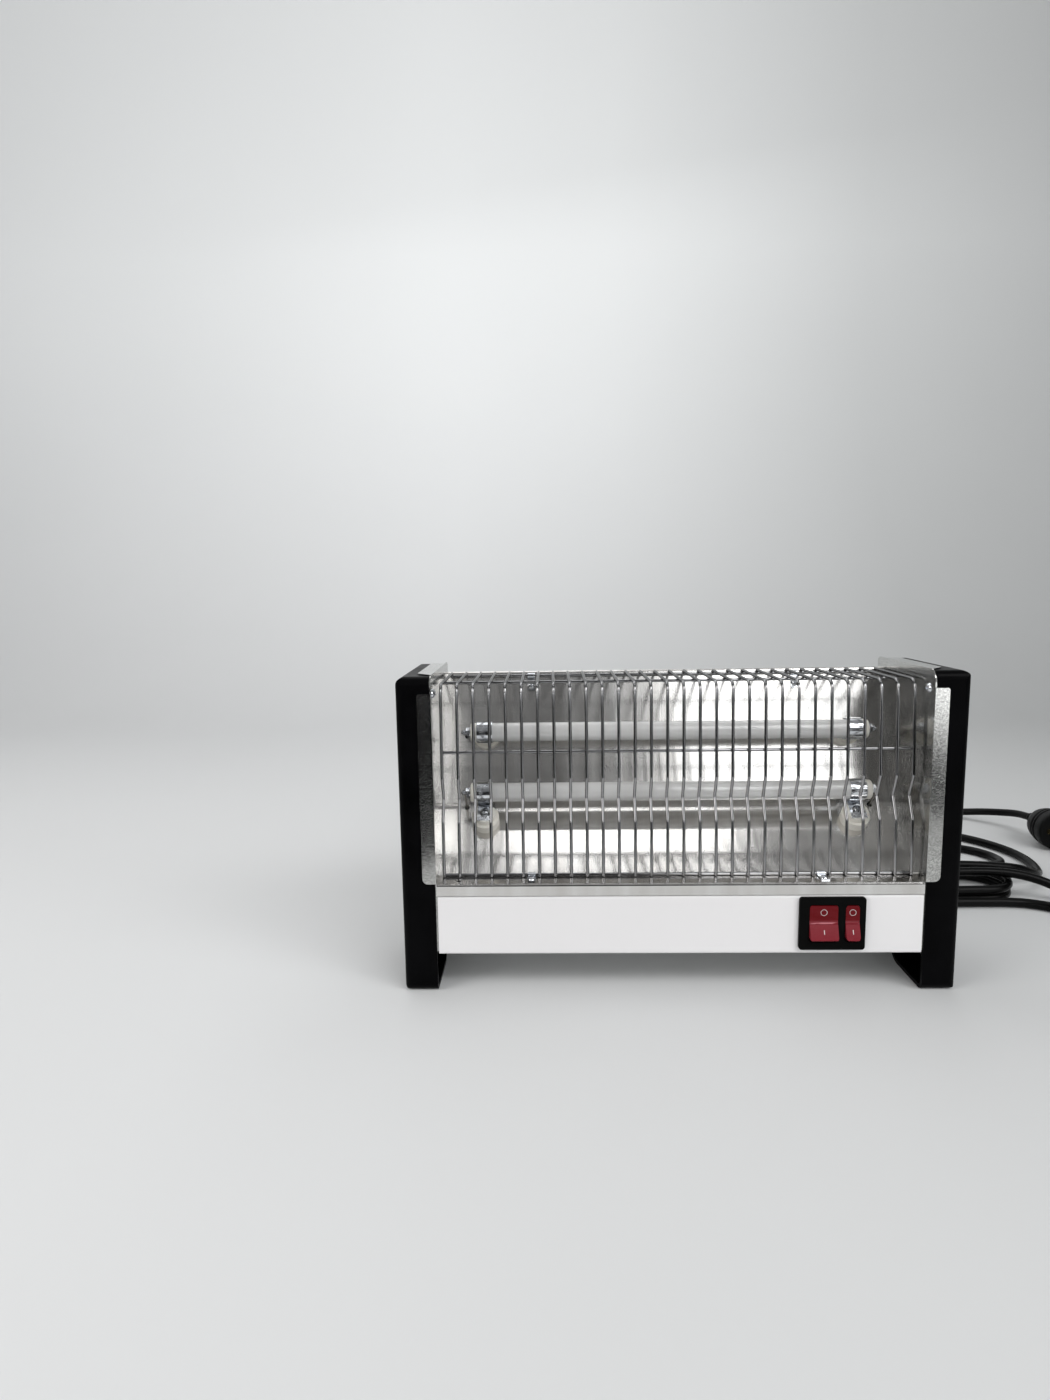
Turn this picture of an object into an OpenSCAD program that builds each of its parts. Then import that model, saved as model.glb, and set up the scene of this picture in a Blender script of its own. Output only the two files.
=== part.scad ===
// Electric bar heater: two quartz tubes before a folded reflector,
// a bent-wire guard, moulded end cheeks and a two-rocker switch.
// X runs along the width, the front faces -Y, Z is up and the feet stand at Z = 0.

/* [Overall] */
// Width over the two end cheeks
overall_w = 340; // [330:1:400]
// Height of the end cheeks
overall_h = 198; // [196:1:215]
// Depth of the end cheeks, front to back
cheek_depth = 92; // [91:0.5:110]

/* [End cheeks] */
// Thickness of one cheek along the width
cheek_w = 20.8; // [16:0.1:26]
// Wall of the moulded cheek
cheek_wall = 2.5; // [1.5:0.1:3]
// Radius of the front top edge
cheek_front_r = 5; // [4:0.1:6]
// Radius of the rear top edge
cheek_rear_r = 10; // [6:0.5:14]
// Radius of the outer top and front edges
cheek_outer_r = 5; // [3.5:0.1:6]
// Length of the front foot on the ground
foot_front = 37; // [30:0.5:40]
// Length of the rear foot on the ground
foot_rear = 22; // [18:0.5:24]
// Radius where a foot turns up into the arch
foot_r = 13; // [8:0.5:14]
// Height of the arch between the feet
arch_h = 10; // [6:0.5:12]
// Diameter of the screw bosses inside a cheek
boss_d = 9; // [7:0.1:9.5]

/* [End plates] */
// Thickness of all folded sheet metal
sheet_t = 0.8; // [0.5:0.05:1]
// Height above ground where the plates begin
plate_low = 26; // [25.5:0.5:30]
// Width of the flange folded over the cheek's front
flange_w = 7.6; // [5:0.1:10]
// Lower end of that flange
flange_low = 70; // [68:1:90]
// Gap from that flange's upper end to the cheek's top
flange_top_gap = 10; // [6:0.5:20]

/* [Reflector] */
// Height of the shelf in front of the lower tube
shelf_z = 69.5; // [69:0.5:74]
// Depth of the shelf
shelf_d = 15.6; // [15.4:0.1:16]
// Depth of the lip folded down in front
lip_h = 7.5; // [5:0.1:7.5]
// Rise of the lower slope
slope_low = 39.85; // [39:0.05:41]
// Lean of the upper slope from the vertical
slope_high = 18.5; // [17.5:0.25:19]
// Length of the lower slope up to the bend
slope_len = 53.7; // [53:0.1:55]
// Inner radius of the bend between the slopes
bend_r = 12; // [6:0.5:14]
// Diameter of the rolled top edge
roll_d = 4; // [3:0.1:4.4]

/* [Front panel] */
// Lower edge of the front panel
panel_low = 24.4; // [22:0.1:25]
// Upper edge of the front panel
panel_high = 61.6; // [60.5:0.1:61.9]
// Depth of the returns folded behind the panel
panel_return = 10; // [6:0.5:12]

/* [Tubes] */
// Outer diameter of a quartz tube
tube_d = 12.6; // [11.5:0.1:13]
// Bore of a quartz tube
tube_bore = 10; // [9:0.1:10.6]
// Gap from a terminal's tip to the end plate
tube_end_gap = 11.4; // [10:0.1:14]
// Diameter of the wound heating element in the bore
element_d = 6; // [4:0.1:7.5]
// Thickness of a ceramic end cap outside the tube
cap_t = 3.5; // [2:0.1:5]
// Diameter of a terminal stud
stud_d = 3; // [2.5:0.1:3.5]

/* [Tube clips] */
// Distance from a tube's end to the middle of its clip
clip_inset = 5.8; // [5.6:0.1:20]
// Width of a clip's band
clip_w = 10; // [6:0.5:11]
// Height of a ceramic spacer
spacer_h = 10; // [8:0.1:11]
// Diameter of a spacer's foot
spacer_d = 18; // [14:0.5:20]
// Diameter of a spacer's neck
spacer_neck_d = 14; // [11:0.5:15]
// Bore of a spacer
spacer_bore = 4.4; // [4.2:0.1:5]
// Diameter of the clip screws
clip_screw_d = 4; // [3:0.1:4]
// Distance from the bend to the lower clip screw, along the slope
low_clip_back = 13; // [11:0.1:15]
// Distance from the lower clip screw to its tube, along the slope
low_clip_reach = 11.7; // [10:0.1:12]
// Distance from the bend to the upper clip, along the slope
high_clip_up = 47.5; // [44:0.5:55]

/* [Guard] */
// Number of upright guard wires
wires = 30; // [10:2:30]
// Gap from the last wire's axis to the end plate
guard_gap = 3.4; // [2.5:0.1:12]
// Diameter of the guard wires
wire_d = 2; // [1.5:0.1:2.2]
// Distance of the lower wire ends behind the front
guard_y = 12.5; // [12:0.1:13]
// Height of the guard's top run
guard_top = 190.8; // [189:0.1:191]
// How far the wires lean back at the kink
kink_depth = 6.5; // [3:0.1:8]
// Height of the kink
kink_z = 118.6; // [112:0.1:125]
// Radius of the top bend
guard_bend_r = 6.5; // [4:0.1:8]
// Height of the middle cross wire
mid_cross_z = 148.4; // [138:0.1:165]
// Distance of the top cross wire behind the front
top_cross_y = 46; // [34:0.5:70]
// Number of wire spaces from the centre to the guard's clips
guard_clip_at = 9; // [3:1:10]

/* [Switch] */
// Distance from the end plate to the middle of the switch
switch_in = 55.4; // [40:0.1:70]
// Width of the switch bezel
bezel_w = 40; // [39:0.1:42]
// Height of the switch bezel
bezel_h = 33.4; // [32:0.1:34]
// How far the bezel stands out
bezel_t = 2; // [1.5:0.1:2.5]
// Width of the wide rocker's window
wide_w = 17.5; // [16:0.1:17.5]
// Width of the narrow rocker's window
narrow_w = 8.8; // [8:0.1:9]
// Height of the windows
window_h = 23.9; // [22:0.1:24.5]
// Full swing of a rocker between off and on
rocker_throw = 20; // [14:1:22]
// Diameter of the rocker pins
pin_d = 3; // [2:0.1:3]

/* [Cord] */
// Diameter of the power cord
cord_d = 7; // [6:0.1:7]
// Number of turns in the coiled part
hank_turns = 2.5; // [1.5:1:2.5]

/* [Hidden] */
$fn = 48;

// Clearances
slide = 0.05;
touch = 0.06;
skin = 0.1;
cut = 1;

half_w = overall_w / 2;
cheek_in = half_w - cheek_w;
plate_in = cheek_in - sheet_t;
rear_flange_y = cheek_depth - 2 * sheet_t - 2;
cover_y = rear_flange_y + sheet_t;

// Widths that follow the room between the end plates
stud_end = 7;
tube_len = 2 * (plate_in - tube_end_gap - stud_end - cap_t);
clip_x = tube_len / 2 - clip_inset;
cross_len = 2 * (plate_in - guard_gap);
wire_pitch = cross_len / (wires - 1);
guard_clip_x = guard_clip_at * wire_pitch;
switch_x = plate_in - switch_in;

// Switch section: the rocker turns on a pin behind the bezel
pivot_depth = 3.4;
pivot_y = pivot_depth - bezel_t;
switch_z = (panel_low + panel_high) / 2 + 1.2;
rocker_r = window_h / 2 - 0.2;
throw_half = rocker_throw / 2;
// Foremost point of the heater, the lower rocker edge
face_k = tan(throw_half);
edge_q = (sqrt(pow(rocker_r, 2) * (1 + pow(face_k, 2)) - pow(pivot_depth, 2)) - pivot_depth * face_k)
  / (1 + pow(face_k, 2));
edge_p = pivot_depth + face_k * edge_q;
front_y = pivot_y - (edge_p * cos(throw_half) + edge_q * sin(throw_half));
mid_y = (front_y + cheek_depth) / 2;

// Reflector section: corners of its front surface in Y and Z
low_dir = [cos(slope_low), sin(slope_low)];
low_up = [-sin(slope_low), cos(slope_low)];
high_dir = [sin(slope_high), cos(slope_high)];
high_up = [-cos(slope_high), sin(slope_high)];
shelf_end = [shelf_d, shelf_z];
slope_end = shelf_end + slope_len * low_dir;
roll_z = guard_top - 0.4;
roll_start = slope_end + high_dir * ((roll_z - slope_end.y) / high_dir.y);
roll_c = roll_start - high_up * roll_d / 2;
roll_from = 180 - slope_high;
roll_sweep = 290;
roll_steps = 12;
reflector_path = concat(
  rounded([[0, shelf_z - lip_h], [0, shelf_z], shelf_end, slope_end, roll_start],
    [0, 1.4, 2, bend_r, 0], [0, 3, 2, 6, 0]),
  [for (i = [1 : roll_steps]) roll_c + roll_d / 2
    * [cos(roll_from - roll_sweep * i / roll_steps), sin(roll_from - roll_sweep * i / roll_steps)]]);

// Tube axes, seats of the ceramics on the reflector and clip sizes
clip_bore = tube_d + 2 * slide;
clip_t = 0.8;
clip_r = clip_bore / 2 + clip_t;
low_seat = slope_end - low_clip_back * low_dir;
low_rise = spacer_h + clip_r - slide;
low_axis = low_seat + low_rise * low_up + low_clip_reach * low_dir;
high_seat = slope_end + high_clip_up * high_dir;
high_rise = spacer_h + clip_t / 2 + clip_r;
high_axis = high_seat + high_rise * high_up;
spacer_foot_h = spacer_h * 0.6;

// Guard section in Y and Z
kink_low = [guard_y + 1.8, kink_z - 14];
kink_mid = [guard_y + 2 + kink_depth, kink_z];
kink_high = [guard_y + 3.3, kink_z + 13.2];
guard_front = guard_y + 7.3;
guard_low = shelf_z + 0.5;
guard_back = slope_end.x + (guard_top - slope_end.y) * tan(slope_high) - 1;
wire_path = rounded([[guard_y, guard_low], kink_low, kink_mid, kink_high,
  [guard_front, guard_top], [guard_back, guard_top]],
  [0, 3, 3, 3, guard_bend_r, 0], [0, 1, 1, 1, 4, 0]);
weld = 0.05;
cross_off = wire_d - weld;
low_cross = [guard_y + cross_off, shelf_z + wire_d / 2 + touch];
mid_cross = [kink_high.x + (guard_front - kink_high.x) * (mid_cross_z - kink_high.y)
  / (guard_top - kink_high.y) + cross_off, mid_cross_z];
top_cross = [top_cross_y, guard_top - cross_off];
rear_z = guard_top - cross_off;
rear_cross = [slope_end.x + (rear_z - slope_end.y) * tan(slope_high)
  - (wire_d / 2 + touch) / cos(slope_high), rear_z];

// Screw places in Y and Z on a cheek
boss_at = [[8, overall_h - 11], [cheek_depth - 12, overall_h - 78], [20, 40], [cheek_depth - 16, 40]];
screw_d = 3;
screw_head_d = 6;
screw_head_h = 2;
// The upper cover screw keeps clear of the reflector's back
cover_screw_gap = 4.38;
cover_screw_len = 6;
cover_screw_top = slope_end.y - screw_d / 2
  + (cover_y + sheet_t - cover_screw_len - cover_screw_gap - sheet_t / cos(slope_high) - slope_end.x)
  / tan(slope_high);
cover_screw_z = [50, min(overall_h - 30, cover_screw_top)];
cover_screw_x = plate_in - 4;
cover_w = plate_in - 0.5;
cover_low = panel_low + sheet_t;
cover_high = roll_c.y - roll_d / 2 - 2.8;

// Cord: where it leaves, how the coil lies and where the plug rests.
// Places on the floor are counted from the point under the gland's end.
gland_at = [plate_in - 30.4, 40];
gland_len = 18;
gland_end = [gland_at.x, cover_y + sheet_t + gland_len, gland_at.y];
floor_at = [gland_end.x, gland_end.y, 0];
cord_z = cord_d / 2 + 0.3;
lift = cord_d + 0.6;
hank_c = floor_at + [106, 60, 0];
hank_half = 35;
hank_r = 24;
hank_pitch = cord_d + 2.2;
hank_in = (hank_turns - 0.5) / 2;
hank_steps = 32;
hank_pts = [for (i = [0 : hank_turns * hank_steps]) hank_pt(i / hank_steps)];
plug_at = floor_at + [270, 208, 18.4];
// Route from the gland over the coil, round a loop and back to the coil
cord_route = concat([gland_end], [for (p = [
  [0, 16.1, 39.5], [2.7, 31.8, 37.1], [11, 44.6, 32.3], [24.5, 51.5, 27.7], [40.3, 53.4, 24.3],
  [56.2, 53.2, 21.9], [72.3, 52.5, 20.5], [88.4, 52, 19.9], [104.6, 51.7, 19.7], [120.7, 51.4, 19.6],
  [136.9, 51.1, 19.6], [153, 50.3, 19.6], [168.9, 47.7, 18.8], [184, 42.9, 16], [198.4, 37.4, 11],
  [212.7, 31.7, 6.3], [227.8, 26.5, 3.9], [243, 21.1, 3.8], [256.8, 12.8, 3.8], [266.6, 0.2, 3.8],
  [270, -15.5, 3.8], [266.2, -31, 3.8], [256.1, -43.4, 3.8], [241.6, -50.2, 3.8], [225.6, -50, 3.8],
  [211.2, -42.9, 3.8], [201.4, -30.2, 3.8], [197.1, -14.7, 3.8], [192.8, 0.8, 3.8], [183.6, 14, 3.8],
  [170.1, 22.7, 3.8], [154.5, 26.3, 3.8], [138.3, 26.8, 3.8], [122.1, 26.8, 3.8]]) floor_at + p],
  [hank_pts[0]]);
// Route from the coil round the floor to the plug
plug_route = concat([hank_pts[len(hank_pts) - 1]], [for (p = [
  [124, 93.4, 11.4], [141.9, 93.3, 10.6], [159.8, 93.9, 9], [177.1, 98.3, 8], [190.7, 109.6, 6.5],
  [196.4, 126.3, 4.5], [192.9, 143.7, 3.8], [180.9, 156.8, 3.8], [163.9, 162.2, 3.8],
  [146, 162.2, 3.8], [128, 160.5, 3.8], [110.2, 161.3, 3.8], [93.9, 168.6, 3.8], [83.8, 183.2, 3.8],
  [82.7, 200.9, 3.8], [90.9, 216.6, 3.8], [106.2, 225.8, 3.8], [123.8, 226, 3.8], [141.4, 221.6, 3.8],
  [158.7, 216.8, 3.8], [174.9, 209.1, 3.8], [189.4, 198.6, 3.8], [201.7, 185.5, 3.8],
  [211.3, 170.4, 3.8], [218.1, 153.7, 3.8], [221.4, 136.1, 3.8], [220.7, 118.2, 3.8],
  [216.7, 100.6, 3.8], [208.6, 84.9, 5.8], [196.2, 73.1, 11], [180.6, 66.7, 16.8], [163, 64.6, 19.2],
  [145, 64.9, 20.1], [127.1, 66.1, 20.1], [109.2, 67.6, 19.8], [91.4, 70.2, 19.7], [73.9, 74.2, 19.9],
  [56.9, 80, 19.5], [41.2, 88.2, 17.4], [28.2, 99.8, 12.9], [18.8, 114.1, 7.5], [13.8, 130.9, 4.5],
  [12.7, 148.8, 3.7], [14.8, 166.7, 3.8], [20, 183.8, 3.8], [28.9, 199.4, 3.8], [40.8, 212.9, 3.8],
  [54.5, 224.5, 3.8], [69.4, 234.5, 3.8], [84.9, 243.5, 3.8], [100.6, 252.3, 3.8], [116.4, 260.9, 3.8],
  [132.5, 268.8, 3.8], [149.2, 275.5, 3.8], [166.5, 280.3, 3.8], [184.3, 282.6, 3.7],
  [202.2, 281.5, 3.9], [219.3, 276.3, 5.2], [234.6, 267.3, 7.7], [247.6, 255.4, 11],
  [257.9, 241.1, 14.2], [266.2, 225.3, 17.1]]) floor_at + p],
  [plug_at]);

// Colours
black = [0.03, 0.03, 0.035];
galvanised = [0.72, 0.73, 0.74];
polished = [0.8, 0.79, 0.77];
enamel = [0.91, 0.9, 0.9];
chrome = [0.82, 0.83, 0.85];
zinc = [0.75, 0.78, 0.82];
quartz = [0.93, 0.93, 0.92];
ceramic = [0.93, 0.9, 0.83];
nichrome = [0.45, 0.43, 0.42];
brass = [0.8, 0.65, 0.35];
red = [0.6, 0.02, 0.08];

// Vectors and bends of a path in its own plane
function unit(v) = v / norm(v);
function turn(a, b, c) = let(u = unit(b - a), v = unit(c - b)) atan2(u.x * v.y - u.y * v.x, u * v);
function arc_pts(a, b, c, r, n) =
  let(u = unit(b - a), t = turn(a, b, c), k = r * tan(abs(t) / 2),
    side = (t > 0 ? 1 : -1) * [-u.y, u.x], mid = b - u * k + side * r, from = atan2(-side.y, -side.x))
  [for (i = [0 : n]) mid + r * [cos(from + t * i / n), sin(from + t * i / n)]];
function rounded(p, r, n) = [for (i = [0 : len(p) - 1])
  each (r[i] > 0 ? arc_pts(p[i - 1], p[i], p[i + 1], r[i], n[i]) : [p[i]])];
function dir(p, i) = unit(p[i + 1] - p[i]);
function mitre(p, i) =
  let(u = dir(p, max(i - 1, 0)), v = dir(p, min(i, len(p) - 2)), a = [u.y, -u.x],
    m = unit(a + [v.y, -v.x])) m / (m * a);
// Closed outline of a sheet whose visible face follows p
function sheet(p, t) = concat(p, [for (i = [len(p) - 1 : -1 : 0]) p[i] + t * mitre(p, i)]);
// Faces of a swept tube with n rings of k sides
function tube_faces(n, k) = concat([[for (j = [0 : k - 1]) j]],
  [for (i = [0 : n - 2], j = [0 : k - 1])
    each [[i * k + j, (i + 1) * k + j, (i + 1) * k + (j + 1) % k],
      [i * k + j, (i + 1) * k + (j + 1) % k, i * k + (j + 1) % k]]],
  [[for (j = [k - 1 : -1 : 0]) (n - 1) * k + j]]);
function ring(c, t, r, k) = let(s = unit(cross(t, [0, 0, 1])), w = cross(s, t))
  [for (j = [0 : k - 1]) c + r * (cos(360 * j / k) * w + sin(360 * j / k) * s)];
// Point of the coil after t turns: in on the floor, up a layer, out again on top.
// A turn is eight parts: half a straight, a round end of two, a straight of two, and so on.
function hank_pt(t) = let(q = 8 * (t - floor(t)),
    a = q < 1 ? 270 : q < 3 ? 270 - 90 * (q - 1) : q < 5 ? 90 : q < 7 ? 90 - 90 * (q - 5) : -90,
    x = q < 1 ? -q : q < 3 ? -1 : q < 5 ? q - 4 : q < 7 ? 1 : 8 - q,
    r = hank_r + hank_pitch * (t < hank_in ? hank_in - t : max(0, t - hank_in - 0.5)),
    k = min(1, max(0, (t - hank_in) / 0.5)))
  [hank_c.x + hank_half * x + r * cos(a), hank_c.y + r * sin(a), cord_z + lift * k * k * (3 - 2 * k)];
// Least gap of the coil to itself, measured between points over half a turn apart
hank_gap = min([for (i = [0 : len(hank_pts) - 1]) for (j = [i + hank_steps / 2 : 1 : len(hank_pts) - 1])
  for (f = [0 : 0.25 : 0.75])
    if (j + 1 < len(hank_pts)) norm(hank_pts[i] - hank_pts[j] * (1 - f) - hank_pts[j + 1] * f)]) - cord_d;
echo(hank_gap = hank_gap, mid_y = mid_y);

// Placing: the heater is centred on its depth
module place() {
  translate([0, -mid_y, 0]) children();
}

// Both ends of the heater, mirrored
module both() {
  children();
  mirror([1, 0, 0]) children();
}

// Profiles drawn in Y and Z, extruded along X from x0 to x1
module along_x(x0, x1) {
  translate([x0, 0, 0]) rotate([90, 0, 90]) linear_extrude(x1 - x0) children();
}

// Profiles drawn in X and Z, extruded along Y from y0 to y1
module along_y(y0, y1) {
  translate([0, y1, 0]) rotate([90, 0, 0]) linear_extrude(y1 - y0) children();
}

// Rod along X
module rod_x(d, x0, x1) {
  translate([x0, 0, 0]) rotate([0, 90, 0]) cylinder(d = d, h = x1 - x0);
}

module corner(r) {
  difference() {
    translate([-cut, -cut]) square(r + cut);
    translate([r, r]) circle(r);
  }
}

// Rectangle with a radius for each corner, from low left round to high left
module round_rect(lo, hi, r) {
  difference() {
    translate(lo) square(hi - lo);
    if (r[0] > 0) translate(lo) corner(r[0]);
    if (r[1] > 0) translate([hi.x, lo.y]) mirror([1, 0]) corner(r[1]);
    if (r[2] > 0) translate(hi) rotate(180) corner(r[2]);
    if (r[3] > 0) translate([lo.x, hi.y]) mirror([0, 1]) corner(r[3]);
  }
}

// Slot with round ends, centred, along X
module slot(w, h) {
  square([w - h, h], center = true);
  for (s = [-1, 1]) translate([s * (w - h) / 2, 0]) circle(d = h, $fn = 24);
}

// Cross-head screw: head up from Z = 0, shank down
module screw(d, len, head_d, head_h) {
  difference() {
    union() {
      translate([0, 0, -len]) cylinder(d = d, h = len + head_h / 2);
      rotate_extrude() intersection() {
        translate([0, -pow(head_d / 2, 2) / 2 / head_h + head_h / 2])
          circle(pow(head_d / 2, 2) / 2 / head_h + head_h / 2, $fn = 96);
        square([head_d / 2, head_h]);
      }
    }
    for (a = [0, 90]) rotate(a)
      translate([-head_d * 0.28, -head_d * 0.06, head_h * 0.45]) cube([head_d * 0.56, head_d * 0.12, head_h]);
  }
}

module hex_nut(d, across, h) {
  difference() {
    cylinder(d = across / cos(30), h = h, $fn = 6);
    translate([0, 0, -cut]) cylinder(d = d + 2 * slide, h = h + 2 * cut);
  }
}

// End cheeks ------------------------------------------------------------

module cheek_side(g) {
  difference() {
    round_rect([g, g], [cheek_depth - g, overall_h - g],
      [cheek_front_r - g, cheek_front_r - g, cheek_rear_r - g, cheek_front_r - g]);
    translate([foot_front - g, -cut]) difference() {
      square([cheek_depth - foot_front - foot_rear + 2 * g, arch_h + g + cut]);
      translate([g, foot_r + cut]) circle(foot_r - g);
      translate([cheek_depth - foot_front - foot_rear + g, foot_r + cut]) circle(foot_r - g);
    }
  }
}

module cheek_form(g, inner) {
  intersection() {
    along_x(inner, half_w - g) cheek_side(g);
    along_y(g, cheek_depth - g)
      round_rect([inner, g], [half_w - g, overall_h - g], [0, cheek_outer_r - g, cheek_outer_r + 1 - g, 0]);
    translate([0, 0, g]) linear_extrude(overall_h - 2 * g)
      round_rect([inner, g], [half_w - g, cheek_depth - g], [0, cheek_outer_r - 1 - g, cheek_outer_r + 1 - g, 0]);
  }
}

// Hollow moulding, open towards the heater, with four screw bosses
module cheek() {
  difference() {
    union() {
      difference() {
        cheek_form(0, cheek_in);
        cheek_form(cheek_wall, cheek_in - cut);
      }
      for (p = boss_at) translate([0, p.x, p.y]) rod_x(boss_d, cheek_in, half_w - cheek_wall / 2);
    }
    for (p = boss_at) translate([0, p.x, p.y])
      rod_x(screw_d + 2 * slide, cheek_in - cut, half_w - 2 * cheek_wall);
  }
}

module right_cheek() {
  color(black) cheek();
}

module left_cheek() {
  color(black) mirror([1, 0, 0]) cheek();
}

module cheek_screw_set() {
  for (p = boss_at) translate([plate_in, p.x, p.y]) rotate([0, -90, 0])
    screw(screw_d, cheek_w / 2, screw_head_d, screw_head_h);
}

module cheek_screws() {
  color(zinc) both() cheek_screw_set();
}

// End plates ------------------------------------------------------------

module end_plate() {
  flange_top = overall_h - flange_top_gap;
  top_back = cheek_depth - 16;
  difference() {
    union() {
      along_x(plate_in, cheek_in)
        round_rect([0, plate_low], [cover_y, overall_h + sheet_t], [0, 0, 4, 8]);
      along_y(-sheet_t, 0)
        round_rect([plate_in, flange_low], [cheek_in + flange_w, flange_top], [0, 3.5, 1.5, 0]);
      translate([0, 0, overall_h]) linear_extrude(sheet_t)
        polygon([[plate_in, 5.5], [cheek_in, 5.5], [cheek_in + flange_w, 13], [cheek_in + flange_w + 1.2, 15],
          [cheek_in + flange_w + 1.2, top_back - 2], [cheek_in + flange_w, top_back], [plate_in, top_back]]);
      along_y(rear_flange_y, cover_y)
        round_rect([plate_in - 8, plate_low + 12], [cheek_in, overall_h - 16], [2, 0, 0, 2]);
    }
    translate([0, -cut, -cut]) cube([half_w, 1 + cut, flange_low + cut]);
    for (p = boss_at) translate([0, p.x, p.y]) rod_x(screw_d + 2 * skin, plate_in - cut, cheek_in + cut);
    for (z = cover_screw_z) translate([cover_screw_x, rear_flange_y - cut, z]) rotate([-90, 0, 0])
      cylinder(d = screw_d + 2 * slide, h = sheet_t + 2 * cut);
  }
}

module right_end_plate() {
  color(galvanised) end_plate();
}

module left_end_plate() {
  color(galvanised) mirror([1, 0, 0]) end_plate();
}

// Reflector, front panel and covers -------------------------------------

// Seats on the reflector: a child drawn with Z square to the slope
module on_low(s) {
  p = low_seat + s * low_dir;
  for (e = [-1, 1]) translate([e * clip_x, p.x, p.y]) rotate([slope_low, 0, 0]) children();
}

module on_high(s) {
  p = high_seat + s * high_dir;
  for (e = [-1, 1]) translate([e * clip_x, p.x, p.y]) rotate([90 - slope_high, 0, 0]) children();
}

module guard_seats() {
  for (e = [-1, 1]) {
    translate([e * guard_clip_x, low_cross.x, shelf_z]) children();
    translate([e * guard_clip_x, rear_cross.x - wire_d / 2 * high_up.x, rear_cross.y - wire_d / 2 * high_up.y])
      rotate([90 - slope_high, 0, 0]) children();
  }
}

guard_screw_off = 7;
lead_hole_d = 3.6;
shelf_hole_in = 13.4;
shelf_hole_y = 6;

module reflector() {
  color(polished) difference() {
    along_x(-plate_in, plate_in) polygon(sheet(reflector_path, sheet_t));
    on_low(0) translate([0, 0, -5]) cylinder(d = clip_screw_d + 1, h = 10);
    on_high(0) translate([0, 0, -5]) cylinder(d = clip_screw_d + 1, h = 10);
    at_leads() translate([0, 0, -$rise - 5]) cylinder(d = lead_hole_d, h = 10);
    guard_seats() translate([0, -guard_screw_off, -3]) cylinder(d = screw_d + 2 * skin, h = 6);
    for (e = [-1, 1]) translate([e * (plate_in - shelf_hole_in), shelf_hole_y, shelf_z - 5])
      cylinder(d = screw_d, h = 10);
  }
}

module front_panel() {
  path = rounded([[panel_return, panel_low], [0, panel_low], [0, panel_high], [panel_return, panel_high]],
    [0, 1.4, 1.4, 0], [0, 3, 3, 0]);
  color(enamel) difference() {
    union() {
      along_x(-plate_in + 0.4, plate_in - 0.4) polygon(sheet(path, sheet_t));
      both() translate([plate_in - 0.4 - sheet_t, sheet_t / 2, panel_low + sheet_t / 2])
        cube([sheet_t, panel_return - sheet_t, panel_high - panel_low - sheet_t]);
    }
    along_y(-cut, 2 * sheet_t) round_rect(
      [switch_x - bezel_w / 2 + 2 - skin, switch_z - bezel_h / 2 + 2 - skin],
      [switch_x + bezel_w / 2 - 2 + skin, switch_z + bezel_h / 2 - 2 + skin], [1, 1, 1, 1]);
  }
}

module base_plate() {
  color(galvanised) difference() {
    translate([-plate_in, panel_return, panel_low]) cube([2 * plate_in, cover_y - panel_return, sheet_t]);
    translate([0, 0, panel_low - cut]) linear_extrude(sheet_t + 2 * cut) for (i = [-6 : 6])
      translate([i * plate_in / 8.25, cheek_depth / 2]) rotate(90) slot(cheek_depth / 3, 5);
  }
}

// Heights and length of the vents in the back cover
vent_z = [80, overall_h - 46];
vent_len = 34;

module back_cover() {
  color(galvanised) difference() {
    union() {
      translate([-cover_w, cover_y, cover_low]) cube([2 * cover_w, sheet_t, cover_high - cover_low]);
      translate([-cover_w, cover_y - 5, cover_low]) cube([2 * cover_w, 5 + sheet_t / 2, sheet_t]);
    }
    along_y(cover_y - cut, cover_y + sheet_t + cut) {
      for (i = [-7 : 7], z = vent_z) translate([i * plate_in / 9.25, z]) rotate(90) slot(vent_len, 5);
      for (e = [-1, 1], z = cover_screw_z) translate([e * cover_screw_x, z]) circle(d = screw_d + 2 * skin);
      translate(gland_at) circle(d = cord_d + 5 + 2 * slide);
    }
  }
}

module cover_screws() {
  color(zinc) for (e = [-1, 1], z = cover_screw_z)
    translate([e * cover_screw_x, cover_y + sheet_t, z]) rotate([-90, 0, 0])
      screw(screw_d, cover_screw_len, screw_head_d, screw_head_h - 0.2);
}

// Guard -----------------------------------------------------------------

wire_sides = 6;

// One upright wire: a ring of points on the mitre at each corner of its path
module guard_wire() {
  n = len(wire_path);
  pts = [for (i = [0 : n - 1]) let(m = mitre(wire_path, i)) for (k = [0 : wire_sides - 1])
    let(a = 360 * k / wire_sides, q = wire_path[i] + wire_d / 2 * cos(a) * m) [wire_d / 2 * sin(a), q.x, q.y]];
  polyhedron(pts, tube_faces(n, wire_sides));
}

module guard_wires() {
  color(chrome) for (i = [0 : wires - 1]) translate([wire_pitch * i - cross_len / 2, 0, 0]) guard_wire();
}

module guard_cross_wires() {
  color(chrome) for (p = [low_cross, mid_cross, top_cross, rear_cross])
    translate([0, p.x, p.y]) rod_x(wire_d, -cross_len / 2 - 1, cross_len / 2 + 1);
}

// Saddle clip: a tab on the sheet that arches over the cross wire
module saddle() {
  t = 0.7;
  w = 5;
  difference() {
    along_x(-w / 2, w / 2) difference() {
      union() {
        translate([-guard_screw_off - 3.5, 0]) square([guard_screw_off + 3.5, t]);
        translate([0, wire_d / 2]) circle(wire_d / 2 + slide + t);
      }
      translate([0, wire_d / 2]) circle(wire_d / 2 + slide);
      translate([-20, -20]) square([40, 20]);
      translate([0, -cut]) square([4, cut + wire_d / 2 + 0.45]);
    }
    translate([0, -guard_screw_off, -cut]) cylinder(d = screw_d + 2 * skin, h = t + 2 * cut);
  }
}

module guard_clips() {
  color(zinc) guard_seats() saddle();
}

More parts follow.
